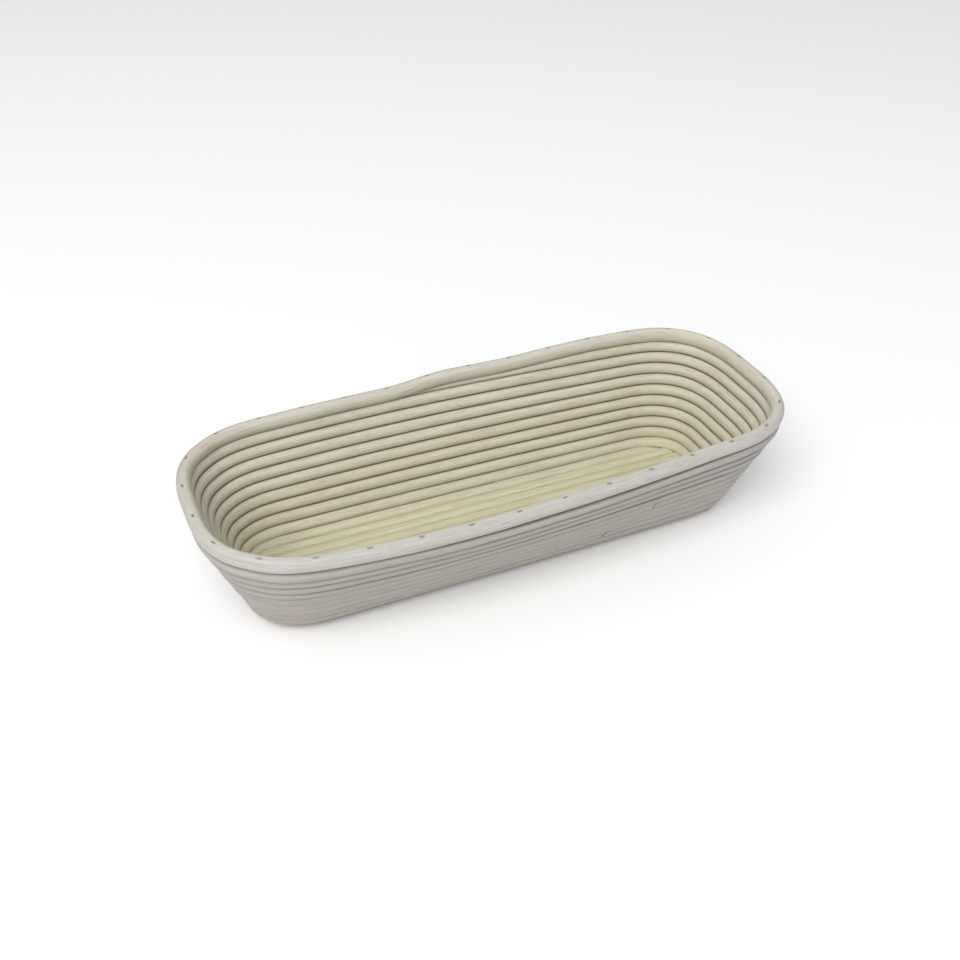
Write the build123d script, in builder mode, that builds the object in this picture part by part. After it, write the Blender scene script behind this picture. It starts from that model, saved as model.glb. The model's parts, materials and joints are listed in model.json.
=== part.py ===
from build123d import *
import os
from math import cos, pi, radians, sin, sqrt, tan

import numpy as np

os.makedirs("parts", exist_ok=True)

# Oblong proving basket wound from round rattan cane, in millimetres.
# +X runs along the basket, +Y towards its back wall, +Z up. The origin is the middle
# of the underside, and z = 0 is the plane that the floor canes rest on.
# The wall is one spiral that climbs one pitch per loop, anticlockwise from above.

# ---- cane sizes
cane_diameter = 6.9
turn_pitch = 7.0            # neighbouring turns, centre to centre, up the wall
floor_count = 9
rim_diameter = 8.8
rim_gap = 0.1               # between the rim cane and the turn below it
rim_butt = 0.74             # loop count where the rim's two ends meet
butt_gap = 0.3
sanded_depth = 0.45         # taken off the underside of the floor canes
end_gap = 0.15              # between a floor cane's end and the wall
end_chamfer = 0.4

# ---- plan of the bottom fold, on the cane centreline
base_half_length = 148.2
base_half_width = 38.0
base_round_x = 32.9
base_round_y = 24.0
base_squareness = 2.4       # 2 is an ellipse, more is squarer

# ---- plan of the wall's top, on the cane centreline
top_half_length = 175.5
top_half_width = 62.8
top_round_x = 55.7
top_round_y = 60.5
top_squareness = 2.79
side_bow = 11.3             # how far the long sides belly out at the top
side_dip = 2.1              # how far their tops sag
bow_skew = 0.5              # both are greatest left of the middle

# ---- section through the wall, on the cane centreline
fold_radius = 14.0
lean_at_bottom = 21.0       # degrees from vertical, above the fold
lean_at_top = 20.0
rim_lean = 8.2             # the rim sits outboard of the top turn

# ---- the spiral, counted in turns from a point on the back wall
seam_x = -24.0              # where the count passes a whole number
spiral_phase = -0.31        # turns by which the fold's middle comes after turn 0
start_tip = -0.235
start_full = -0.18          # the first cane reaches full thickness here
start_bend = -0.05          # before this it bends away from the next turn
start_ease = 8.0           # by this much, mm per turn squared
last_tip = 10.0
thinning = [(9.85, 9.94), (9.965, 10.02)]   # the last cane loses half its thickness in each
splices = [2.55, 5.58, 7.95]
splice_length = 28.0
splice_gap = 0.15
tip_radius = 0.5
tip_overlap = 0.003         # turns by which a thinned end reaches into its cane
tip_fit = 0.985             # its radius there, as a share of the cane's

# ---- fastenings: round-wire staples
wire = 0.8
crown = 5.0
bend = 0.9
bedding = 0.3               # depth of a rim or end staple's wire under the surface
buried = 0.45               # the same for staples that the next turn covers
rim_staple_count = 32
rim_staple_leg = 12.0
wall_staple_step = 3 / rim_staple_count     # turns, so that no two courses line up
wall_staple_first = 1 + 1 / rim_staple_count
wall_staple_leg = 10.0
floor_staple_leg = 5.0
floor_staple_rows = [-96.0, -32.0, 32.0, 96.0]
floor_stagger = 6.0
end_staple_leg = 12.0

# ---- fineness of the curves
points_per_turn = 96
side_points = 600           # along half a long side, round a corner, along half an end
corner_points = 400
end_points = 20

# ---- derived sizes
cane_radius = cane_diameter / 2
rim_radius = rim_diameter / 2
floor_level = cane_radius - sanded_depth        # centreline height of the floor canes
fold_angle = radians(90 - lean_at_bottom)
fold_length = fold_radius * fold_angle
fold_corner = fold_radius * tan(fold_angle / 2)
wall_length = (last_tip + spiral_phase) * turn_pitch - fold_length / 2
wall_turning = radians(lean_at_bottom - lean_at_top)
wall_radius = wall_length / wall_turning


def outline(half_length, half_width, round_x, round_y, squareness):
    """Rounded rectangle with superellipse corners, anticlockwise from the back's middle.

    Every outline gives its corners and its straight parts the same shares of its points,
    so that points of the same number lie above each other up the wall.
    """
    steps = np.linspace(0, 1, corner_points)
    angle = steps * pi / 2
    power = 2 / squareness
    side_x = half_length - round_x
    side_y = half_width - round_y
    corner_x = side_x + round_x * np.sin(angle) ** power
    corner_y = side_y + round_y * np.cos(angle) ** power
    run = np.concatenate([[0], np.cumsum(np.hypot(np.diff(corner_x), np.diff(corner_y)))])
    even = np.interp(steps, run / run[-1], steps)
    corner_x = np.interp(even, steps, corner_x)
    corner_y = np.interp(even, steps, corner_y)
    long_steps = np.linspace(0, 1, side_points, endpoint=False)
    short_steps = np.linspace(0, 1, end_points + 1)[1:]
    x = np.concatenate([long_steps * side_x, corner_x, half_length + 0 * short_steps])
    y = np.concatenate([half_width + 0 * long_steps, corner_y, side_y * (1 - short_steps)])
    x = np.concatenate([x[:-1], x[:0:-1]])
    y = np.concatenate([y[:-1], -y[:0:-1]])
    return np.concatenate([-x, x, [0]]), np.concatenate([y, -y, [half_width]])


def belly(x, y):
    """Share of the long sides' bow at a point of the top outline, positive at the back."""
    along = np.clip(x / (top_half_length - 0.3 * top_round_x), -1, 1)
    side = np.clip(y / (0.5 * top_half_width), -1, 1)
    return side * (1 - along**2) * (1 - bow_skew * along)


def wall_section(slant):
    """Outward and upward place at a distance up the wall from the middle of the fold."""
    s = slant + fold_length / 2
    a = np.clip(s, 0, fold_length) / fold_radius
    b = fold_angle + np.maximum(s - fold_length, 0) / wall_radius
    out = np.minimum(s, 0) + fold_radius * np.sin(a)
    out = out + wall_radius * (np.sin(b) - sin(fold_angle))
    up = fold_radius * (1 - np.cos(a)) + wall_radius * (cos(fold_angle) - np.cos(b))
    return out - fold_corner, up


base_x, base_y = outline(
    base_half_length, base_half_width, base_round_x, base_round_y, base_squareness
)
top_x, top_y = outline(
    top_half_length, top_half_width, top_round_x, top_round_y, top_squareness
)
top_belly = belly(top_x, top_y)
base_girth = np.sum(np.hypot(np.diff(base_x), np.diff(base_y)))
top_run = np.concatenate([[0], np.cumsum(np.hypot(np.diff(top_x), np.diff(top_y)))])
top_girth = top_run[-1]
loop_share = top_run / top_girth
seam_share = -seam_x / top_girth
full_out, full_up = wall_section((last_tip + spiral_phase) * turn_pitch)


def wall_points(loop, slant):
    """Points on the wall's centre surface, one row each of x, y, z."""
    share = (loop + seam_share) % 1
    out, up = wall_section(slant)
    bx, by, tx, ty, bow = (
        np.interp(share, loop_share, values)
        for values in (base_x, base_y, top_x, top_y, top_belly)
    )
    x = bx + (tx - bx) * out / full_out
    y = by + (ty - by) * out / full_out + side_bow * bow * up / full_up
    return np.stack([x, y, floor_level + up - side_dip * np.abs(bow) * up / full_up], -1)


def spiral(turn):
    """Centreline of the wall cane at a turn count."""
    ease = start_ease * np.minimum(turn - start_bend, 0) ** 2
    return wall_points(turn, (turn + spiral_phase) * turn_pitch - ease)


def first_radius(turn):
    """Radius of the first cane, whose end is shaved to a point on the floor."""
    x = np.clip((turn - start_tip) / (start_full - start_tip), 0, 1)
    return tip_radius + (cane_radius - tip_radius) * x


def drop(turn):
    """Share of its thickness that the last cane has lost, and that the rim has come down."""
    lost = 0
    for begin, end in thinning:
        x = np.clip((turn - begin) / (end - begin), 0, 1)
        lost = lost + x * x * (3 - 2 * x) / len(thinning)
    return lost


def last_end(turn):
    """Centreline of the last cane's thin end, which lies on the turn below it."""
    return wall_points(turn, (turn + spiral_phase) * turn_pitch - cane_radius * drop(turn))


def under_rim(loop):
    """Centreline that the rim is laid along: the top turn, dropping over its thin end."""
    rim_end = thinning[-1][1]
    turn = rim_end - 1 + (loop - rim_end) % 1
    return wall_points(turn, (turn + spiral_phase - drop(turn)) * turn_pitch)


def rim_line(loop):
    """Centreline of the rim cane."""
    step = 0.001
    here = under_rim(loop)
    ahead = under_rim(loop + step) - under_rim(loop - step)
    size = np.hypot(ahead[..., 0], ahead[..., 1])
    reach = cane_radius + rim_radius + rim_gap
    here[..., 0] += reach * sin(radians(rim_lean)) * ahead[..., 1] / size
    here[..., 1] -= reach * sin(radians(rim_lean)) * ahead[..., 0] / size
    here[..., 2] += reach * cos(radians(rim_lean))
    return here


def vectors(rows):
    return [Vector(*row) for row in rows.tolist()]


def round_cane(rows, radius):
    """Round cane along a row of centreline points."""
    points = vectors(rows)
    lift = Vector(0, 0, 10 * radius)
    path = Spline(*points)
    guide = Spline(*[p + lift for p in points])
    with BuildPart() as cane:
        with BuildSketch(Plane(origin=path @ 0, z_dir=path % 0)):
            Circle(radius)
        sweep(path=path, binormal=guide)
    return cane.part


def thin_end(rows, radii):
    """Round cane end whose radius changes from section to section."""
    points = vectors(rows)
    with BuildPart() as end:
        with BuildLine():
            path = Spline(*points)
        for i, radius in enumerate(radii):
            share = i / (len(radii) - 1)
            with BuildSketch(Plane(origin=path @ share, z_dir=path % share)):
                Circle(radius)
        loft()
    return end.part


def splice_cut(turn, side):
    """Block whose face is the slanting cut of a splice: side 1 is past it, -1 before it."""
    here, ahead, above = vectors(spiral(np.array([turn, turn + 0.002, turn + 1])))
    along = (ahead - here).normalized()
    outward = along.cross(above - here).normalized()
    slope = Vector(cane_diameter / splice_length, 1, 0).normalized()
    face = Plane(
        origin=here,
        x_dir=along * slope.Y - outward * slope.X,
        z_dir=along * slope.X + outward * slope.Y,
    )
    depth = 1.3 * cane_diameter
    middle = depth / 2 if side > 0 else splice_gap - depth / 2
    block = Box(2 * splice_length, turn_pitch, depth, mode=Mode.PRIVATE)
    return face * Pos(0, 0, middle) * block


def wall_cane(first, last):
    """A length of wall cane from one splice, or tip, to the next."""
    overrun = 0.6 * splice_length / base_girth
    begin = first - overrun if first in splices else start_full
    end = last + overrun if last in splices else thinning[0][0]
    steps = round((end - begin) * points_per_turn)
    body = round_cane(spiral(np.linspace(begin, end, steps + 1)), cane_radius)
    tips = []
    cuts = []
    if first in splices:
        cuts.append(splice_cut(first, -1))
    else:
        turns = np.linspace(start_full + tip_overlap, start_tip, 5)
        tips.append(thin_end(spiral(turns), tip_fit * first_radius(turns)))
    if last in splices:
        cuts.append(splice_cut(last, 1))
    else:
        turns = np.linspace(thinning[0][0] - tip_overlap, last_tip, 12)
        tips.append(thin_end(last_end(turns), tip_fit * cane_radius * (1 - drop(turns))))
    with BuildPart() as cane:
        add([body] + tips, clean=False)
        add(cuts, mode=Mode.SUBTRACT, clean=False)
    return cane.part


def finish(part, name):
    part.label = name
    export_step(part, f"parts/{name}.step")


# ---- wall: four lengths of cane, spliced end to end
ends = [start_tip] + splices + [last_tip]
for i in range(len(ends) - 1):
    finish(wall_cane(ends[i], ends[i + 1]), f"wall_cane_{i + 1}")

# ---- rim: a thicker cane laid on the top turn, butted at the right-hand end
half_gap = butt_gap / 2 / top_girth
loop = np.linspace(rim_butt + half_gap, rim_butt + 1 - half_gap, points_per_turn + 25)
finish(round_cane(rim_line(loop), rim_radius), "rim_cane")

# ---- floor: straight canes that lie along the spiral's first turn
back_run = spiral(np.linspace(start_full, 0.14, 65))
front_run = spiral(np.linspace(0.3, 0.65, 71))
end_runs = {-1: spiral(np.linspace(0.1, 0.4, 301)), 1: spiral(np.linspace(0.6, 0.9, 301))}
floor_slope = np.polyfit(back_run[:, 0], back_run[:, 1], 1)[0]


def crossing(run, axis, value):
    """Place where a run of the spiral crosses a given x (axis 0) or y (axis 1)."""
    rows = run[np.argsort(run[:, axis])]
    return Vector(*[float(np.interp(value, rows[:, axis], rows[:, k])) for k in range(3)])


def beside(run, side):
    """y at the floor's middle of a floor cane that lies next to a long side's cane."""
    reach = np.sqrt(turn_pitch**2 - (run[:, 2] - floor_level) ** 2)
    free = run[:, 1] - floor_slope * run[:, 0] + side * reach
    return free.max() if side > 0 else free.min()


floor_y = np.linspace(beside(back_run, -1), beside(front_run, 1), floor_count)


def floor_end(y, side):
    """x at which a floor cane meets the spiral's first turn."""
    run = end_runs[side]
    off = np.hypot(run[:, 1] - y - floor_slope * run[:, 0], run[:, 2] - floor_level)
    past_edge = np.clip(off - cane_radius, 0, cane_radius)
    limit = np.abs(run[:, 0]) - np.sqrt(cane_radius**2 - past_edge**2)
    return side * (float(limit[off < cane_diameter].min()) - end_gap)


def floor_point(y, x):
    return Vector(x, y + floor_slope * x, floor_level)


for i, y in enumerate(floor_y.tolist()):
    start = floor_point(y, floor_end(y, -1))
    stop = floor_point(y, floor_end(y, 1))
    with BuildPart() as floor_cane:
        with BuildSketch(Plane(origin=start, z_dir=stop - start)):
            Circle(cane_radius)
        extrude(amount=(stop - start).length)
        chamfer(floor_cane.edges().filter_by(GeomType.CIRCLE), end_chamfer)
        split(bisect_by=Plane.XY, keep=Keep.TOP)
    finish(floor_cane.part, f"floor_cane_{i + 1}")


# ---- staples: round wire bent to a U, modelled with the crown on X and the legs down
def staple(width, leg):
    with BuildPart() as bent:
        with BuildLine():
            path = FilletPolyline(
                (-width / 2, 0, -leg), (-width / 2, 0, 0), (width / 2, 0, 0), (width / 2, 0, -leg),
                radius=bend,
            )
        with BuildSketch(Plane(origin=path @ 0, z_dir=path % 0)):
            Circle(wire / 2)
        sweep(path=path)
    return bent.part


def staples(shape, spots):
    with BuildPart() as group:
        with Locations(*spots):
            add(shape)
    return group.part


def driven(middle, along, inward):
    """Place of a staple whose crown runs along a direction and whose legs point inward."""
    across = inward.cross(along)
    return Plane(origin=middle, x_dir=across.cross(inward), z_dir=-inward)


rim_spots = []
for k in range(rim_staple_count):
    loop = (k + 0.5) / rim_staple_count
    here, ahead = vectors(rim_line(np.array([loop, loop + 0.002])))
    below = vectors(under_rim(np.array([loop])))[0]
    inward = (below - here).normalized()
    rim_spots.append(driven(here - inward * (rim_radius - bedding), ahead - here, inward))
finish(staples(staple(crown, rim_staple_leg), rim_spots), "rim_staples")

wall_staple = staple(crown, wall_staple_leg)
wall_staple_turns = np.arange(wall_staple_first, thinning[0][0], wall_staple_step)
for i in range(len(ends) - 1):
    wall_spots = []
    for turn in wall_staple_turns[(wall_staple_turns > ends[i]) & (wall_staple_turns < ends[i + 1])]:
        here, ahead, below = vectors(spiral(np.array([turn, turn + 0.002, turn - 1])))
        inward = (below - here).normalized()
        middle = here - inward * (cane_radius - buried)
        wall_spots.append(driven(middle, ahead - here, inward))
    finish(staples(wall_staple, wall_spots), f"wall_staples_{i + 1}")

# The floor canes are stapled side to side from below, and to the first turn.
floor_spots = []
for row in floor_staple_rows:
    for gap in range(floor_count + 1):
        x = row + floor_stagger * (1 if gap % 2 else -1)
        line = [crossing(back_run, 0, x)]
        line += [floor_point(y, x) for y in floor_y.tolist()]
        line += [crossing(front_run, 0, x)]
        a = line[gap]
        b = line[gap + 1]
        across = (b - a).normalized()
        inward = Vector(1, 0, 0).cross(across).normalized()
        inward = inward if inward.Z > 0 else -inward
        middle = (a + b) * 0.5 - inward * (floor_level - buried)
        floor_spots.append(driven(middle, across, inward))
finish(staples(staple(turn_pitch, floor_staple_leg), floor_spots), "floor_staples")

# The first turn is stapled into the floor canes' ends.
end_spots = []
for side in (-1, 1):
    for y in floor_y[1:-1].tolist():
        x = floor_end(y, side)
        target = floor_point(y, x)
        turn_at = crossing(end_runs[side], 1, target.Y)
        height = (target.Z + turn_at.Z) / 2
        cover = sqrt(cane_radius**2 - (turn_at.Z - height) ** 2) - bedding
        middle = Vector(turn_at.X + side * cover, target.Y, height)
        end_spots.append(driven(middle, Vector(0, 1, 0), Vector(-side, 0, 0)))
finish(staples(staple(crown, end_staple_leg), end_spots), "end_staples")
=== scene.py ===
import json
from math import cos, pi, radians, sin, tan

import bpy
import numpy as np
from mathutils import Matrix, Vector


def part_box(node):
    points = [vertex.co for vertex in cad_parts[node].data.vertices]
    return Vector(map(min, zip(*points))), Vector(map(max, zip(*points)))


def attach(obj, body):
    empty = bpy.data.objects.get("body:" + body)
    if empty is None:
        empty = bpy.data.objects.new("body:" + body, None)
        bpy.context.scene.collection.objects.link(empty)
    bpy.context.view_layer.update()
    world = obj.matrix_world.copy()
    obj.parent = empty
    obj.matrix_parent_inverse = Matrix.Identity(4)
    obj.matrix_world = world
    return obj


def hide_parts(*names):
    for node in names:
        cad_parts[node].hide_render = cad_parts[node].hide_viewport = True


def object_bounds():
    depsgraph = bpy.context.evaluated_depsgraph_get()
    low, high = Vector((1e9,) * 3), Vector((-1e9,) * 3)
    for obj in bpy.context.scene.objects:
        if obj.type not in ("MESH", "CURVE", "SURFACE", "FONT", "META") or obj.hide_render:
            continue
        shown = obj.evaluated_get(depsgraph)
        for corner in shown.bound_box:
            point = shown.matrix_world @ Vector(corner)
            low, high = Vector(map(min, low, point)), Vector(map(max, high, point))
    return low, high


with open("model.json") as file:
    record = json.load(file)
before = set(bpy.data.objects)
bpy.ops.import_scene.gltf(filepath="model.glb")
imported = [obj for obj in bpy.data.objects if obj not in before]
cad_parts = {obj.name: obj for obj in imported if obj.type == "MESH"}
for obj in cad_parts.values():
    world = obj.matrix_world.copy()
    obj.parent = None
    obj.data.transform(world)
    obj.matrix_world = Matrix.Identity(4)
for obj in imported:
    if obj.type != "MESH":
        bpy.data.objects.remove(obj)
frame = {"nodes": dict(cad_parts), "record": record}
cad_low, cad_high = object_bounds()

# Oblong proving basket of round rattan cane. Each CAD cane is stood for by a finer mesh of the
# same cane, which touches its neighbours, is sanded outside and is slightly uneven, as real cane
# is. Lengths are in millimetres until build_mesh() turns them into Blender's metres.
METRE = 1000.0
SEED = 7

# ---- cane sizes, as in the CAD
pitch = 7.0                     # neighbouring turns, centre to centre
cane_radius = 3.45
rim_radius = 4.4
rim_gap = 0.1
rim_butt = 0.74                 # loop count where the rim's ends meet
rim_lean = radians(8.2)         # it stands on the top turn, outward by this angle
floor_count = 9

# ---- plan of the bottom fold and of the top, on the cane centreline:
# half length, half width, corner size along x and y, squareness
base_plan = (148.2, 38.0, 32.9, 24.0, 2.4)
top_plan = (175.5, 62.8, 55.7, 60.5, 2.79)
side_bow = 11.3                 # how far the long sides belly out at the top
side_dip = 2.1                  # how far their tops sag
bow_skew = 0.5                  # both are greatest left of the middle
seam_x = -24.0                  # where the turn count passes a whole number

# ---- section through the wall
fold_radius = 14.0
lean_at_bottom = 21.0
lean_at_top = 20.0
floor_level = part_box("floor_cane_5")[1].z * METRE - cane_radius
fold_angle = radians(90 - lean_at_bottom)
fold_length = fold_radius * fold_angle
fold_corner = fold_radius * tan(fold_angle / 2)

# ---- the spiral, counted in turns
phase = -0.31                   # turns by which the fold's middle comes after turn 0
start_tip = -0.235              # the thin start
start_full = -0.18              # at its full thickness from here
start_bend = -0.05              # before this it curves inward
start_ease = 8.0
top_turn = 10.0                 # where the wall has the top plan
thinning = [(9.85, 9.94), (9.965, 10.02)]       # half the last cane's height goes over each
splices = [2.55, 5.58, 7.95]
splice_length = 28.0
wall_length = (top_turn + phase) * pitch - fold_length / 2
wall_radius = wall_length / radians(lean_at_bottom - lean_at_top)       # of its slight curve

# ---- how fine the meshes are
slope_step = 0.0015             # turns, for a centreline's direction
ring_step = 1.6                 # along a wall or floor cane
rim_step = 0.8
wall_sides = 32
rim_sides = 56
floor_sides = 36
outline_points = (600, 400, 20)     # half a long side, a corner, half an end

# ---- cane sections; 2 is round, more is squarer
touch = 0.05                    # neighbours press this far into each other
squareness = 2.08
rim_squareness = 2.05           # of the rim's outer side
rim_width = 0.89                # sanded sides leave the rim narrower than it is high
# outer sides of the wall canes, as turn counts and the values there
outer_squareness = ([0.0, 1.5, 5.6, 6.6, 10.0], [3.0, 5.4, 6.8, 2.4, 2.2])
outer_share = ([0.0, 5.6, 6.6, 10.0], [0.93, 0.95, 1.0, 1.0])       # of the radius
outer_groove = ([0.0, 5.5, 6.3, 10.0], [0.2, 0.12, 1.0, 0.9])       # how dark the painted shade in the grooves is
groove_fade = ([-150.0, -20.0], [0.35, 1.0])                        # the same by x

# ---- the ends of the canes
end_round = 0.03
tip_share = 0.25                # of the radius, at the wall's thin start
tip_half = 0.5                  # half height there
end_narrowing = 0.6             # share of the radius that the thin end loses in width
floor_turns = 0.75              # up to here the first turn rests on the floor canes
floor_press = 0.3               # and presses this far into them
rim_slit = 0.06                 # half the slit where the rim's ends meet
splice_reach = 2.4              # half splice lengths over which the rings slant

# ---- floor canes
floor_spread = 1.051            # they are spread out to meet the first turn on both sides
floor_shift = -0.58
floor_sink = 0.5                # of the radius, by which their ends run into the first turn
first_turn = {-1: (0.1, 0.4), 1: (0.6, 0.9)}    # its runs past the left and right ends
end_squareness = 3.6            # of their right ends, which the first turn rises over
end_begin = 16.0                # this far from the end
end_reach = 9.0                 # coming in over this length
top_sanding = 0.12              # taken off their upper sides

# ---- unevenness: how much, the size of its bumps, and seeds
waver = 0.16                    # sideways
floor_waver = 0.08
waver_size = {"wall": 70.0, "rim": 90.0, "floor": 120.0}
swell = 0.012                   # of the thickness, as a share
swell_size = {"wall": 24.0, "rim": 40.0, "floor": 26.0}
sanding = 0.16                  # of the outer squareness, as a share
sanding_size = 95.0
rim_seed = 70
floor_seed = 200
wall_grain = 500                # shifts the grain from cane to cane
floor_grain = 700

# ---- staples in the rim
rim_staples = 32
bury = 0.12                     # the rim's surface closes over their bends
dent_depth = 0.47               # but is pressed in along the middle of each crown
dent_width = 0.8
dent_length = 2.6
dent_edge = 0.9


# ================ the basket's curves ================
def outline(half_length, half_width, round_x, round_y, square):
    """Rounded rectangle with superellipse corners, anticlockwise from the back's middle."""
    long_count, corner_count, short_count = outline_points
    steps = np.linspace(0, 1, corner_count)
    side_x = half_length - round_x
    side_y = half_width - round_y
    corner_x = side_x + round_x * np.sin(steps * pi / 2) ** (2 / square)
    corner_y = side_y + round_y * np.cos(steps * pi / 2) ** (2 / square)
    run = np.concatenate([[0], np.cumsum(np.hypot(np.diff(corner_x), np.diff(corner_y)))])
    even = np.interp(steps, run / run[-1], steps)
    long_steps = np.linspace(0, 1, long_count, endpoint=False)
    short_steps = np.linspace(0, 1, short_count + 1)[1:]
    x = [long_steps * side_x, np.interp(even, steps, corner_x), half_length + 0 * short_steps]
    y = [half_width + 0 * long_steps, np.interp(even, steps, corner_y), side_y * (1 - short_steps)]
    x = np.concatenate(x)
    y = np.concatenate(y)
    x = np.concatenate([x[:-1], x[:0:-1]])
    y = np.concatenate([y[:-1], -y[:0:-1]])
    return np.concatenate([-x, x, [0]]), np.concatenate([y, -y, [half_width]])


def belly(x, y):
    """Share of the long sides' bow at a point of the top outline, positive at the back."""
    along = np.clip(x / (top_plan[0] - 0.3 * top_plan[2]), -1, 1)
    side = np.clip(y / (0.5 * top_plan[1]), -1, 1)
    return side * (1 - along**2) * (1 - bow_skew * along)


def wall_section(slant):
    """Outward and upward place at a distance up the wall from the middle of the fold."""
    s = slant + fold_length / 2
    a = np.clip(s, 0, fold_length) / fold_radius
    b = fold_angle + np.maximum(s - fold_length, 0) / wall_radius
    out = np.minimum(s, 0) + fold_radius * np.sin(a)
    out = out + wall_radius * (np.sin(b) - sin(fold_angle))
    up = fold_radius * (1 - np.cos(a)) + wall_radius * (cos(fold_angle) - np.cos(b))
    return out - fold_corner, up


base_x, base_y = outline(*base_plan)
top_x, top_y = outline(*top_plan)
top_belly = belly(top_x, top_y)
top_run = np.concatenate([[0], np.cumsum(np.hypot(np.diff(top_x), np.diff(top_y)))])
base_girth = np.sum(np.hypot(np.diff(base_x), np.diff(base_y)))
top_girth = top_run[-1]
full_out, full_up = wall_section((top_turn + phase) * pitch)


def wall_points(loop, slant):
    """Points on the wall's centre surface."""
    share = (loop - seam_x / top_girth) % 1
    out, up = wall_section(slant)
    curves = (base_x, base_y, top_x, top_y, top_belly)
    bx, by, tx, ty, bow = (np.interp(share, top_run / top_girth, c) for c in curves)
    x = bx + (tx - bx) * out / full_out
    y = by + (ty - by) * out / full_out + side_bow * bow * up / full_up
    z = floor_level + up - side_dip * np.abs(bow) * up / full_up
    return np.stack([x, y, z], -1)


def drop(turn):
    """Share of its thickness that the last cane has lost, and that the rim has come down."""
    lost = 0
    for begin, end in thinning:
        x = np.clip((turn - begin) / (end - begin), 0, 1)
        lost = lost + x * x * (3 - 2 * x) / len(thinning)
    return lost


def spiral(turn):
    """The spiral as if it had no ends."""
    return wall_points(turn, (turn + phase) * pitch)


def wall_line(turn):
    """Centreline of the wall canes, with the eased start and the thin end."""
    ease = start_ease * np.minimum(turn - start_bend, 0) ** 2
    return wall_points(turn, (turn + phase) * pitch - ease - cane_radius * drop(turn))


def under_rim(loop):
    """Centreline that the rim is laid along: the top turn, dropping over its thin end."""
    rim_end = thinning[-1][1]
    turn = rim_end - 1 + (loop - rim_end) % 1
    return wall_points(turn, (turn + phase - drop(turn)) * pitch)


def rim_line(loop):
    """Centreline of the rim cane."""
    step = 0.001
    here = under_rim(loop)
    ahead = under_rim(loop + step) - under_rim(loop - step)
    size = np.hypot(ahead[..., 0], ahead[..., 1])
    reach = cane_radius + rim_radius + rim_gap
    here[..., 0] += reach * sin(rim_lean) * ahead[..., 1] / size
    here[..., 1] -= reach * sin(rim_lean) * ahead[..., 0] / size
    here[..., 2] += reach * cos(rim_lean)
    return here


def length(vectors):
    return np.sqrt((vectors**2).sum(-1))


def unit(vectors):
    return vectors / length(vectors)[..., None]


def smooth(x):
    """Eases from 0 to 1 as x does."""
    x = np.clip(x, 0, 1)
    return x * x * (3 - 2 * x)


def groove_edge(place, begin):
    """Rises from 0 to 1 from begin to the edge of a section, on both sides."""
    return smooth((np.abs(place) - begin) / (1 - begin))


def wave(along, size, seed):
    """Smooth unevenness between about -1 and 1, with bumps of about the given size."""
    draw = np.random.default_rng(SEED * 1000 + seed)
    total = 0
    for share in (0.31, 0.47, 0.73, 1.0, 1.6):
        total = total + np.sin(2 * pi * along * share / size + draw.uniform(0, 2 * pi)) / share**0.5
    return total / 3.2


# ================ meshes ================
def ring_angles(sides):
    return np.arange(sides) / sides * 2 * pi


def section_shape(angle, outer=squareness, inner=squareness):
    """A cane's section, as shares of its half sizes outward and upward."""
    u = np.cos(angle)
    v = np.sin(angle)
    power = 2 / np.where(u > 0, outer, inner)
    return np.sign(u) * np.abs(u) ** power, np.sign(v) * np.abs(v) ** power


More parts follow.
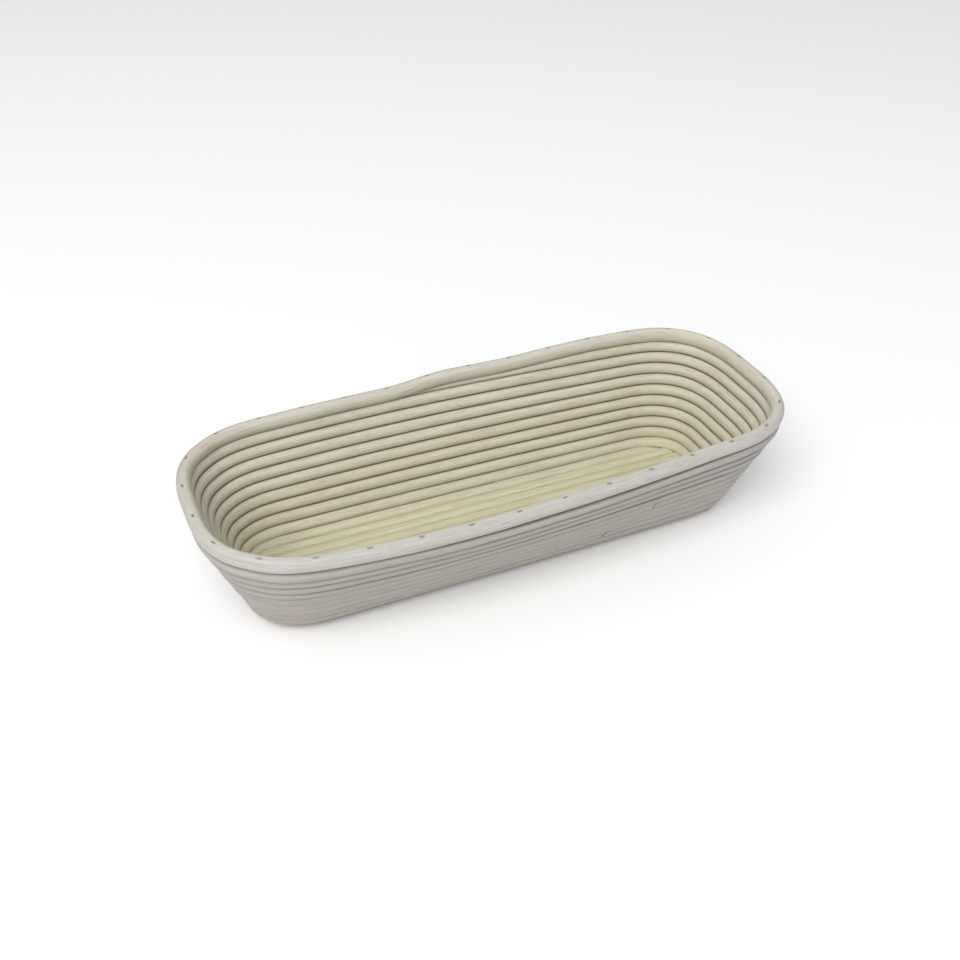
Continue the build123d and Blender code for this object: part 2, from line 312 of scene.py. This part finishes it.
def build_mesh(name, rings, looks, grain, material):
    """Closed cane from rings of points (millimetres), with rounded ends.

    looks holds for each point: outside, the painted shade in the grooves, height, and the painted
    shadow and rust in the staple dents; grain holds its place in the cane.
    """
    count, sides, _ = rings.shape
    points = [rings.reshape(-1, 3)]
    values = [looks.reshape(-1, 4)]
    grains = [grain.reshape(-1, 3)]
    row = np.arange(sides)
    beyond = (row + 1) % sides
    starts = np.arange(count - 1)[:, None] * sides
    ahead = starts + sides
    quads = [np.stack([starts + row, ahead + row, ahead + beyond, starts + beyond], -1)]
    fans = []
    total = count * sides
    for edge, inner in ((0, 1), (count - 1, count - 2)):
        middle = rings[edge].mean(0)
        way = unit(middle - rings[inner].mean(0))
        reach = length(rings[edge] - middle)[:, None]
        lip = middle + (rings[edge] - middle) * np.maximum(1 - end_round / reach, 0.3)
        lip = lip + way * end_round * 0.7
        points += [lip, (middle + way * end_round)[None]]
        values += [looks[edge], looks[edge].mean(0)[None]]
        grains += [grain[edge], grain[edge].mean(0)[None]]
        first = edge * sides + row
        second = edge * sides + beyond
        lip_first = total + row
        lip_second = total + beyond
        centre = np.full(sides, total + sides)
        if edge == 0:
            quads.append(np.stack([first, second, lip_second, lip_first], -1)[None])
            fans.append(np.stack([lip_first, lip_second, centre], -1))
        else:
            quads.append(np.stack([second, first, lip_first, lip_second], -1)[None])
            fans.append(np.stack([lip_second, lip_first, centre], -1))
        total += sides + 1
    quads = np.concatenate([q.reshape(-1, 4) for q in quads])
    fans = np.concatenate(fans)
    mesh = bpy.data.meshes.new(name)
    mesh.vertices.add(total)
    mesh.vertices.foreach_set("co", (np.concatenate(points) / METRE).astype(np.float32).ravel())
    corners = np.concatenate([quads.ravel(), fans.ravel()]).astype(np.int32)
    sizes = np.concatenate([np.full(len(quads), 4), np.full(len(fans), 3)])
    mesh.loops.add(len(corners))
    mesh.loops.foreach_set("vertex_index", corners)
    mesh.polygons.add(len(sizes))
    firsts = np.concatenate([[0], np.cumsum(sizes)[:-1]]).astype(np.int32)
    mesh.polygons.foreach_set("loop_start", firsts)
    mesh.polygons.foreach_set("use_smooth", np.ones(len(sizes), bool))
    mesh.update(calc_edges=True)
    mesh.validate()
    look = mesh.attributes.new("look", "FLOAT_COLOR", "POINT")
    look.data.foreach_set("color", np.concatenate(values).astype(np.float32).ravel())
    place = mesh.attributes.new("grain", "FLOAT_VECTOR", "POINT")
    place.data.foreach_set("vector", (np.concatenate(grains) / METRE).astype(np.float32).ravel())
    mesh.materials.append(material)
    piece = bpy.data.objects.new(name, mesh)
    bpy.context.scene.collection.objects.link(piece)
    return piece


def hand_over(piece, node):
    """The piece stands for its CAD node."""
    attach(piece, "root")
    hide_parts(node)


def slope_ends(turns, angle, slopes, half_length):
    """Turn count of each ring point, so that a spliced end is a slanting face."""
    out, _ = section_shape(angle)
    share = turns[:, None] + 0 * angle
    for end in slopes:
        near = 1 - smooth(np.abs(turns - end) / (splice_reach * half_length))
        share = share - near[:, None] * out * half_length
    return share


def cane_frame(line, turn, climb):
    """Points on a centreline, with a section's outward and upward directions there."""
    tangent = unit(line(turn + slope_step) - line(turn - slope_step))
    climb = unit(climb - tangent * (climb * tangent).sum(-1)[..., None])
    return line(turn), np.cross(tangent, climb), climb


def under_the_rim(turn):
    """Whether this is the last turn, which the rim stands on."""
    return turn > thinning[-1][1] - 1


def wall_heights(turn, here, start):
    """How far a wall cane reaches up and down from its centreline."""
    # up to the next turn, or to the rim
    to_next = length(spiral(turn + 1) - here)
    to_rim = length(rim_line(turn) - here) - rim_radius
    half_up = np.where(under_the_rim(turn), to_rim, to_next / 2) + touch
    half_up = np.where(turn < start_bend, to_next - pitch / 2 + touch, half_up)
    # down to the turn below, or to the floor canes
    to_last = length(here - spiral(turn - 1))
    half_down = np.where(turn > floor_turns, to_last / 2 + touch, cane_radius + floor_press)
    half_down = np.where(drop(turn) > 0, to_last - pitch / 2 + touch, half_down)
    thinned = tip_half + (cane_radius + floor_press - tip_half) * start
    return half_up, np.where(turn < 0, thinned, half_down)


def wall_cane(number, first, last, material):
    """A length of wall cane from one splice, or thin end, to the next."""
    seed = number * 10
    girth = base_girth + (top_girth - base_girth) * (first + last) / 2 / top_turn
    steps = round((last - first) * girth / ring_step)
    angle = ring_angles(wall_sides)
    slopes = [end for end in (first, last) if end in splices]
    turns = np.linspace(first, last, steps + 1)
    turn = slope_ends(turns, angle, slopes, splice_length / 2 / girth)
    along = turn * girth
    outer = np.interp(turn, *outer_squareness) * (1 + sanding * wave(along, sanding_size, seed + 2))
    u, v = section_shape(angle, outer)
    climb = spiral(turn + 1) - spiral(turn - 1)
    here, outward, climb = cane_frame(wall_line, turn, climb)
    start = smooth((turn - start_tip) / (start_full - start_tip))
    half_up, half_down = wall_heights(turn, here, start)
    half_out = cane_radius * (1 - end_narrowing * drop(turn))
    half_out = half_out * (tip_share + (1 - tip_share) * start)
    half_out = half_out * (1 + swell * wave(along, swell_size["wall"], seed + 1))
    across = half_out * u * np.where(u > 0, np.interp(turn, *outer_share), 1)
    across = across + waver * wave(along, waver_size["wall"], seed + 3)
    rise = np.where(v > 0, half_up, half_down) * v
    points = here + outward * across[..., None] + climb * rise[..., None]
    points[..., 2] = np.maximum(points[..., 2], 0)
    # the look of the surface
    outside = smooth(0.5 + np.cos(angle) * 1.4) + 0 * turn
    # painted shade in the grooves between turns, on the inner and the outer sides
    inner_groove_shade = groove_edge(v, 0.78)
    outer_groove_shade = groove_edge(v, np.where(under_the_rim(turn) & (v > 0), 0.85, 0.52))
    outer_groove_shade = outer_groove_shade * np.interp(turn, *outer_groove)
    outer_groove_shade = outer_groove_shade * np.interp(points[..., 0], *groove_fade)
    groove_shade = inner_groove_shade + (outer_groove_shade - inner_groove_shade) * smooth(0.5 + 2.5 * u)
    height = points[..., 2] / (cad_high.z * METRE)
    looks = np.stack([outside, groove_shade, height, 0 * turn], -1)
    grain = np.stack([along + number * wall_grain, cane_radius * u, cane_radius * v], -1)
    piece = build_mesh(f"visual_wall_cane_{number}", points, looks, grain, material)
    hand_over(piece, f"wall_cane_{number}")


def rim_cane(material):
    """The thicker cane on top, dented where the staples are driven in."""
    gap = rim_slit / top_girth
    steps = round(top_girth / rim_step)
    turn = np.linspace(rim_butt + gap, rim_butt + 1 - gap, steps + 1)[:, None]
    angle = ring_angles(rim_sides)
    u, v = section_shape(angle, rim_squareness)
    here, outward, climb = cane_frame(rim_line, turn, rim_line(turn) - under_rim(turn))
    along = turn * top_girth
    half = rim_radius * (1 + swell * wave(along, swell_size["rim"], rim_seed + 1))
    across = half * rim_width * u + waver * wave(along, waver_size["rim"], rim_seed + 3)
    rise = half * v + np.where(v < 0, touch, bury) * v
    # dents under the staples' crowns
    place = (turn * rim_staples - 0.5) % 1
    place = np.minimum(place, 1 - place) * top_girth / rim_staples
    ends = 1 - smooth((place - dent_length / 2) / dent_edge + 0.5)
    dent = ends * np.exp(-((rim_radius * u / dent_width) ** 2)) * (v > 0)
    rise = rise - dent_depth * dent
    points = here + outward * across[..., None] + climb * rise[..., None]
    # the look of the surface
    outside = smooth(0.45 + u * 1.2) + 0 * turn
    # painted shade along the rim's underside, where it sits on the top turn
    groove_shade = groove_edge(np.minimum(v, 0), 0.85) + 0 * turn
    height = points[..., 2] / (cad_high.z * METRE)
    # the dent also darkens the colour: painted shadow in it, with rust stain
    looks = np.stack([outside, groove_shade, height, dent], -1)
    grain = np.stack([along + 0 * u, rim_radius * u + 0 * turn, rim_radius * v + 0 * turn], -1)
    piece = build_mesh("visual_rim_cane", points, looks, grain, material)
    hand_over(piece, "rim_cane")


def floor_limit(side, y):
    """How far along x a floor cane reaches at each y: just into the first turn."""
    run = wall_line(np.linspace(*first_turn[side], 600))
    run = run[np.argsort(run[:, 1])]
    return np.interp(y, run[:, 1], run[:, 0]) - side * floor_sink * cane_radius


def floor_cane(number, material):
    """A straight cane of the floor, sanded flat below."""
    seed = floor_seed + number * 10
    low, high = (np.array(corner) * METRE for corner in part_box(f"floor_cane_{number}"))
    span = high[0] - low[0]
    lean = -(high[1] - low[1] - 2 * cane_radius) / span
    centre_x = (low[0] + high[0]) / 2
    centre_y = floor_spread * (low[1] + high[1]) / 2 + floor_shift
    half_wide = floor_spread * pitch / 2 + touch
    angle = ring_angles(floor_sides)
    u, v = section_shape(angle)
    start = floor_limit(-1, half_wide * u + centre_y - lean * span / 2)
    stop = floor_limit(1, half_wide * u + centre_y + lean * span / 2)
    x = start + (stop - start) * np.linspace(0, 1, round(span / ring_step))[:, None]
    size = 1 + swell * wave(x, swell_size["floor"], seed + 5)
    # the right ends are squarer, where the first turn rises over them and is stapled to them
    end_u, end_v = section_shape(angle, end_squareness, end_squareness)
    ends = smooth((x - high[0] + end_begin) / end_reach)
    across = half_wide * (u + (end_u - u) * ends)
    up = v + (end_v - v) * ends
    rise = cane_radius * size * up - top_sanding * smooth((up - 0.8) * 4)
    y = centre_y + lean * (x - centre_x) + across
    z = floor_level + rise + floor_waver * wave(x, waver_size["floor"], seed + 6)
    points = np.stack([x, y, np.maximum(z, 0)], -1)
    # the look of the surface
    outside = smooth(-up * 1.5)
    # painted shade where neighbouring floor canes meet
    groove_shade = groove_edge(u, 0.86) + 0 * x
    looks = np.stack([outside, 0.75 * groove_shade, points[..., 2] / (cad_high.z * METRE), 0 * x], -1)
    grain = np.stack([x + number * floor_grain, cane_radius * u + 0 * x, cane_radius * up], -1)
    piece = build_mesh(f"visual_floor_cane_{number}", points, looks, grain, material)
    hand_over(piece, f"floor_cane_{number}")


# ================ materials ================
class Nodes:
    """Adds nodes to a material and joins them up."""

    def __init__(self, name):
        self.material = bpy.data.materials.new(name)
        self.material.use_nodes = True
        self.tree = self.material.node_tree
        self.surface = self.tree.nodes["Principled BSDF"]

    def add(self, kind, inputs=(), **settings):
        node = self.tree.nodes.new(kind)
        for key, value in settings.items():
            setattr(node, key, value)
        for key, value in dict(inputs).items():
            self.put(node, key, value)
        return node

    def put(self, node, key, value):
        if isinstance(value, bpy.types.NodeSocket):
            self.tree.links.new(value, node.inputs[key])
        else:
            node.inputs[key].default_value = value

    def maths(self, operation, a, b=0.0, clamp=False):
        node = self.add("ShaderNodeMath", {0: a, 1: b}, operation=operation, use_clamp=clamp)
        return node.outputs[0]

    def noise(self, place, scale, detail=2.0, rough=0.5):
        scaled = self.add("ShaderNodeVectorMath", {0: place, 1: scale}, operation="MULTIPLY")
        inputs = {"Vector": scaled.outputs[0], "Scale": 1.0, "Detail": detail, "Roughness": rough}
        return self.add("ShaderNodeTexNoise", inputs).outputs["Fac"]

    def spread(self, value, low, high, to_low=0.0, to_high=1.0):
        inputs = {"Value": value, "From Min": low, "From Max": high}
        inputs.update({"To Min": to_low, "To Max": to_high})
        node = self.add("ShaderNodeMapRange", inputs, interpolation_type="SMOOTHSTEP")
        return node.outputs["Result"]

    def mix(self, share, a, b, blend="MIX"):
        node = self.add("ShaderNodeMix", data_type="RGBA", blend_type=blend)
        self.put(node, 0, share)
        self.put(node, 6, a)
        self.put(node, 7, b)
        return node.outputs[2]


def frame_colour(slot, scale=1.0):
    """A slot's base colour in the record, darker where scale is below 1."""
    for row in frame["record"]["materials"]:
        if row["slot"] == slot:
            return tuple(c * scale for c in row["base_color"])
    raise ValueError(f"the record has no slot {slot}")


def rgb(colour):
    return tuple(colour) + (1.0,)


def cane_material(name, inside_low, inside_high, outside_low, outside_high, shade):
    """Peeled rattan core: fine fibres and pores along it, mottled, shade painted between canes."""
    n = Nodes(name)
    look = n.add("ShaderNodeAttribute", attribute_name="look")
    parts = n.add("ShaderNodeSeparateColor", {0: look.outputs["Color"]})
    outside, groove_shade, height = parts.outputs[0], parts.outputs[1], parts.outputs[2]
    dent_shadow_and_rust = look.outputs["Alpha"]
    place = n.add("ShaderNodeAttribute", attribute_name="grain").outputs["Vector"]
    fibres = n.noise(place, (45.0, 2300.0, 2300.0), 3.0, 0.6)
    pores = n.noise(place, (85.0, 3600.0, 3600.0), 1.0)
    bundles = n.noise(place, (11.0, 620.0, 620.0), 2.0)
    mottle = n.noise(place, (26.0, 130.0, 130.0), 2.0)
    lengths = n.noise(place, (5.5, 20.0, 20.0), 1.0)
    inside = n.mix(n.spread(height, 0.05, 0.8), rgb(inside_low), rgb(inside_high))
    outer = n.mix(n.spread(height, 0.1, 0.75), rgb(outside_low), rgb(outside_high))
    colour = n.mix(outside, inside, outer)
    for pattern, begin, end, most, tint in (
        (lengths, 0.35, 0.65, 1.0, (1.0, 0.98, 0.94)),
        (mottle, 0.42, 0.75, 0.75, (0.94, 0.925, 0.89)),
        (bundles, 0.35, 0.7, 0.8, (0.91, 0.90, 0.87)),
        (fibres, 0.4, 0.68, 0.8, (0.86, 0.845, 0.81)),
    ):
        share = n.spread(pattern, begin, end, 0.0, most)
        colour = n.mix(share, colour, rgb(tint), "MULTIPLY")
    dashes = n.spread(pores, 0.62, 0.72)
    colour = n.mix(n.maths("MULTIPLY", dashes, 0.42), colour, rgb((0.27, 0.21, 0.13)))
    # painted shade in the grooves between canes
    colour = n.mix(n.maths("MULTIPLY", groove_shade, shade), colour, rgb((0.115, 0.098, 0.05)))
    # painted shadow in the staple dents, with a little rust stain
    colour = n.mix(n.maths("MULTIPLY", dent_shadow_and_rust, 0.55, True), colour, rgb((0.10, 0.085, 0.07)))
    n.put(n.surface, "Base Color", colour)
    n.put(n.surface, "Roughness", n.spread(fibres, 0.3, 0.7, 0.52, 0.74))
    n.put(n.surface, "Specular IOR Level", 0.32)
    relief = n.maths("SUBTRACT", n.maths("ADD", fibres, n.maths("MULTIPLY", bundles, 0.6)), dashes)
    bump = n.add("ShaderNodeBump", {"Height": relief, "Strength": 0.45, "Distance": 0.00016})
    n.put(n.surface, "Normal", bump.outputs[0])
    return n.material


def staple_material():
    """Dull galvanised wire with a little rust."""
    n = Nodes("staple_wire")
    place = n.add("ShaderNodeTexCoord").outputs["Object"]
    patches = n.noise(place, (900.0, 900.0, 900.0), 3.0, 0.6)
    fine = n.noise(place, (6000.0, 6000.0, 6000.0), 1.0)
    steel = rgb(frame_colour("staple_wire", 0.62))
    rust = rgb((0.13, 0.085, 0.05))
    colour = n.mix(n.spread(patches, 0.52, 0.68, 0.0, 0.7), steel, rust)
    n.put(n.surface, "Base Color", colour)
    n.put(n.surface, "Metallic", n.spread(patches, 0.5, 0.7, 0.75, 0.2))
    n.put(n.surface, "Roughness", n.spread(fine, 0.3, 0.7, 0.38, 0.6))
    bump = n.add("ShaderNodeBump", {"Height": fine, "Strength": 0.3, "Distance": 0.00005})
    n.put(n.surface, "Normal", bump.outputs[0])
    return n.material


# ================ the stage ================
def area_light(name, place, aim, size, watts, colour):
    light = bpy.data.lights.new(name, "AREA")
    light.shape = "DISK"
    light.size = size
    light.energy = watts
    light.color = colour
    lamp = bpy.data.objects.new(name, light)
    bpy.context.scene.collection.objects.link(lamp)
    lamp.location = place
    lamp.rotation_mode = "QUATERNION"
    lamp.rotation_quaternion = (Vector(aim) - Vector(place)).to_track_quat("-Z", "Y")


def stage():
    """White floor, soft light from above and a camera above the basket's front left corner."""
    mesh = bpy.data.meshes.new("floor")
    reach = 4.0
    level = min(cad_low.z, 0) - 0.0002
    corners = [(x * reach, y * reach, level) for x, y in ((-1, -1), (1, -1), (1, 1), (-1, 1))]
    mesh.from_pydata(corners, [], [(0, 1, 2, 3)])
    n = Nodes("floor_white")
    n.put(n.surface, "Base Color", rgb((0.93, 0.93, 0.93)))
    n.put(n.surface, "Roughness", 0.9)
    n.put(n.surface, "Specular IOR Level", 0.1)
    mesh.materials.append(n.material)
    floor = bpy.data.objects.new("floor", mesh)
    bpy.context.scene.collection.objects.link(floor)

    world = bpy.data.worlds.new("studio")
    bpy.context.scene.world = world
    world.use_nodes = True
    back = world.node_tree.nodes["Background"]
    back.inputs["Color"].default_value = (0.96, 0.975, 1.0, 1.0)
    back.inputs["Strength"].default_value = 0.62
    middle = (cad_low + cad_high) / 2
    area_light("key", (-1.3, -1.5, 2.4), middle, 2.2, 76.0, (1.0, 0.99, 0.97))

    azimuth = radians(-23.96)
    elevation = radians(36.25)
    roll = radians(0.33)
    aim = Vector((1.3, 18.5, 26.5)) / METRE
    distance = 705.1 / METRE
    back_way = Vector((sin(azimuth), -cos(azimuth), tan(elevation))) * cos(elevation)
    lens = bpy.data.cameras.new("camera")
    lens.lens = 43.07
    lens.sensor_width = 36.0
    lens.clip_start = 0.01
    lens.clip_end = 50.0
    camera = bpy.data.objects.new("camera", lens)
    bpy.context.scene.collection.objects.link(camera)
    turn = (-back_way).to_track_quat("-Z", "Y").to_matrix().to_4x4() @ Matrix.Rotation(roll, 4, "Z")
    camera.matrix_world = Matrix.Translation(aim + back_way * distance) @ turn
    bpy.context.scene.camera = camera
    bpy.context.scene.view_settings.view_transform = "Standard"


# ================ the basket ================
outer_tone = (0.405, 0.394, 0.384)
low_outer_tone = (0.425, 0.402, 0.386)
upper_inner_tone = (0.60, 0.57, 0.485)
rim_outer_tone = (0.50, 0.49, 0.475)
wall_tone = frame_colour("wall_cane", 0.97)
rim_tone = frame_colour("rim_cane", 0.9)
floor_tone = frame_colour("floor_cane", 0.9)

wall_tones = (wall_tone, upper_inner_tone, low_outer_tone, outer_tone)
rim_tones = (rim_tone, rim_tone, outer_tone, rim_outer_tone)
floor_tones = (floor_tone, floor_tone, low_outer_tone, low_outer_tone)
wall_material = cane_material("wall_cane", *wall_tones, 0.9)
rim_material = cane_material("rim_cane", *rim_tones, 0.6)
floor_material = cane_material("floor_cane", *floor_tones, 0.4)
wire_material = staple_material()

ends = [start_tip] + splices + [thinning[-1][1]]
for number in range(1, len(ends)):
    wall_cane(number, ends[number - 1], ends[number], wall_material)
rim_cane(rim_material)
for number in range(1, floor_count + 1):
    floor_cane(number, floor_material)
for node, shape in frame["nodes"].items():
    if "staples" in node:
        shape.data.materials.clear()
        shape.data.materials.append(wire_material)

stage()
